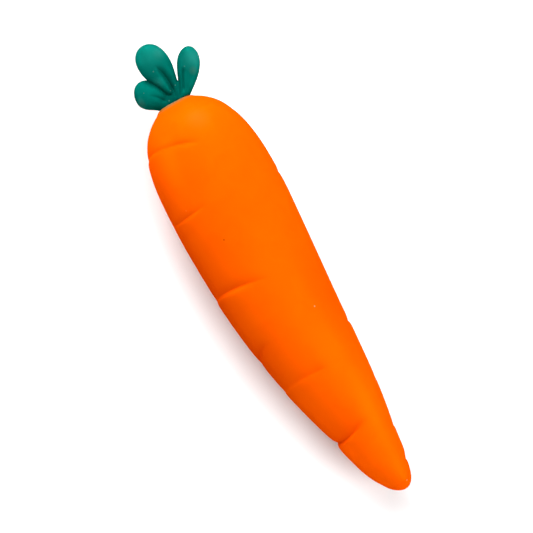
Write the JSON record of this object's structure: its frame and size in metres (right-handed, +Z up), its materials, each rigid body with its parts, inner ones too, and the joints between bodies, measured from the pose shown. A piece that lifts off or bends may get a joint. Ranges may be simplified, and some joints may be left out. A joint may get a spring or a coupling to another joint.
{
  "type": "toy carrot",
  "caption": "Carrot-shaped toy of soft moulded rubber: a creased, tapering orange root with a tuft of fat rounded teal leaves, lying on its side.",
  "frame": {"origin": "on the surface the toy lies on, in the small resting flat under its centre of mass", "axes": "+X along the toy towards the crown and the tuft, +Y sideways, +Z up from the resting flat"},
  "size_m": [0.1802, 0.0421, 0.0422],
  "materials": {
    "orange_rubber": "satin moulded rubber, bright orange, even colour with a little dust",
    "teal_rubber": "satin moulded rubber, dark teal green, faintly hazed with dust"
  },
  "bodies": {
    "root": {"root_body": "orange_rubber", "leaf_tuft": "teal_rubber"}
  },
  "joints": []
}
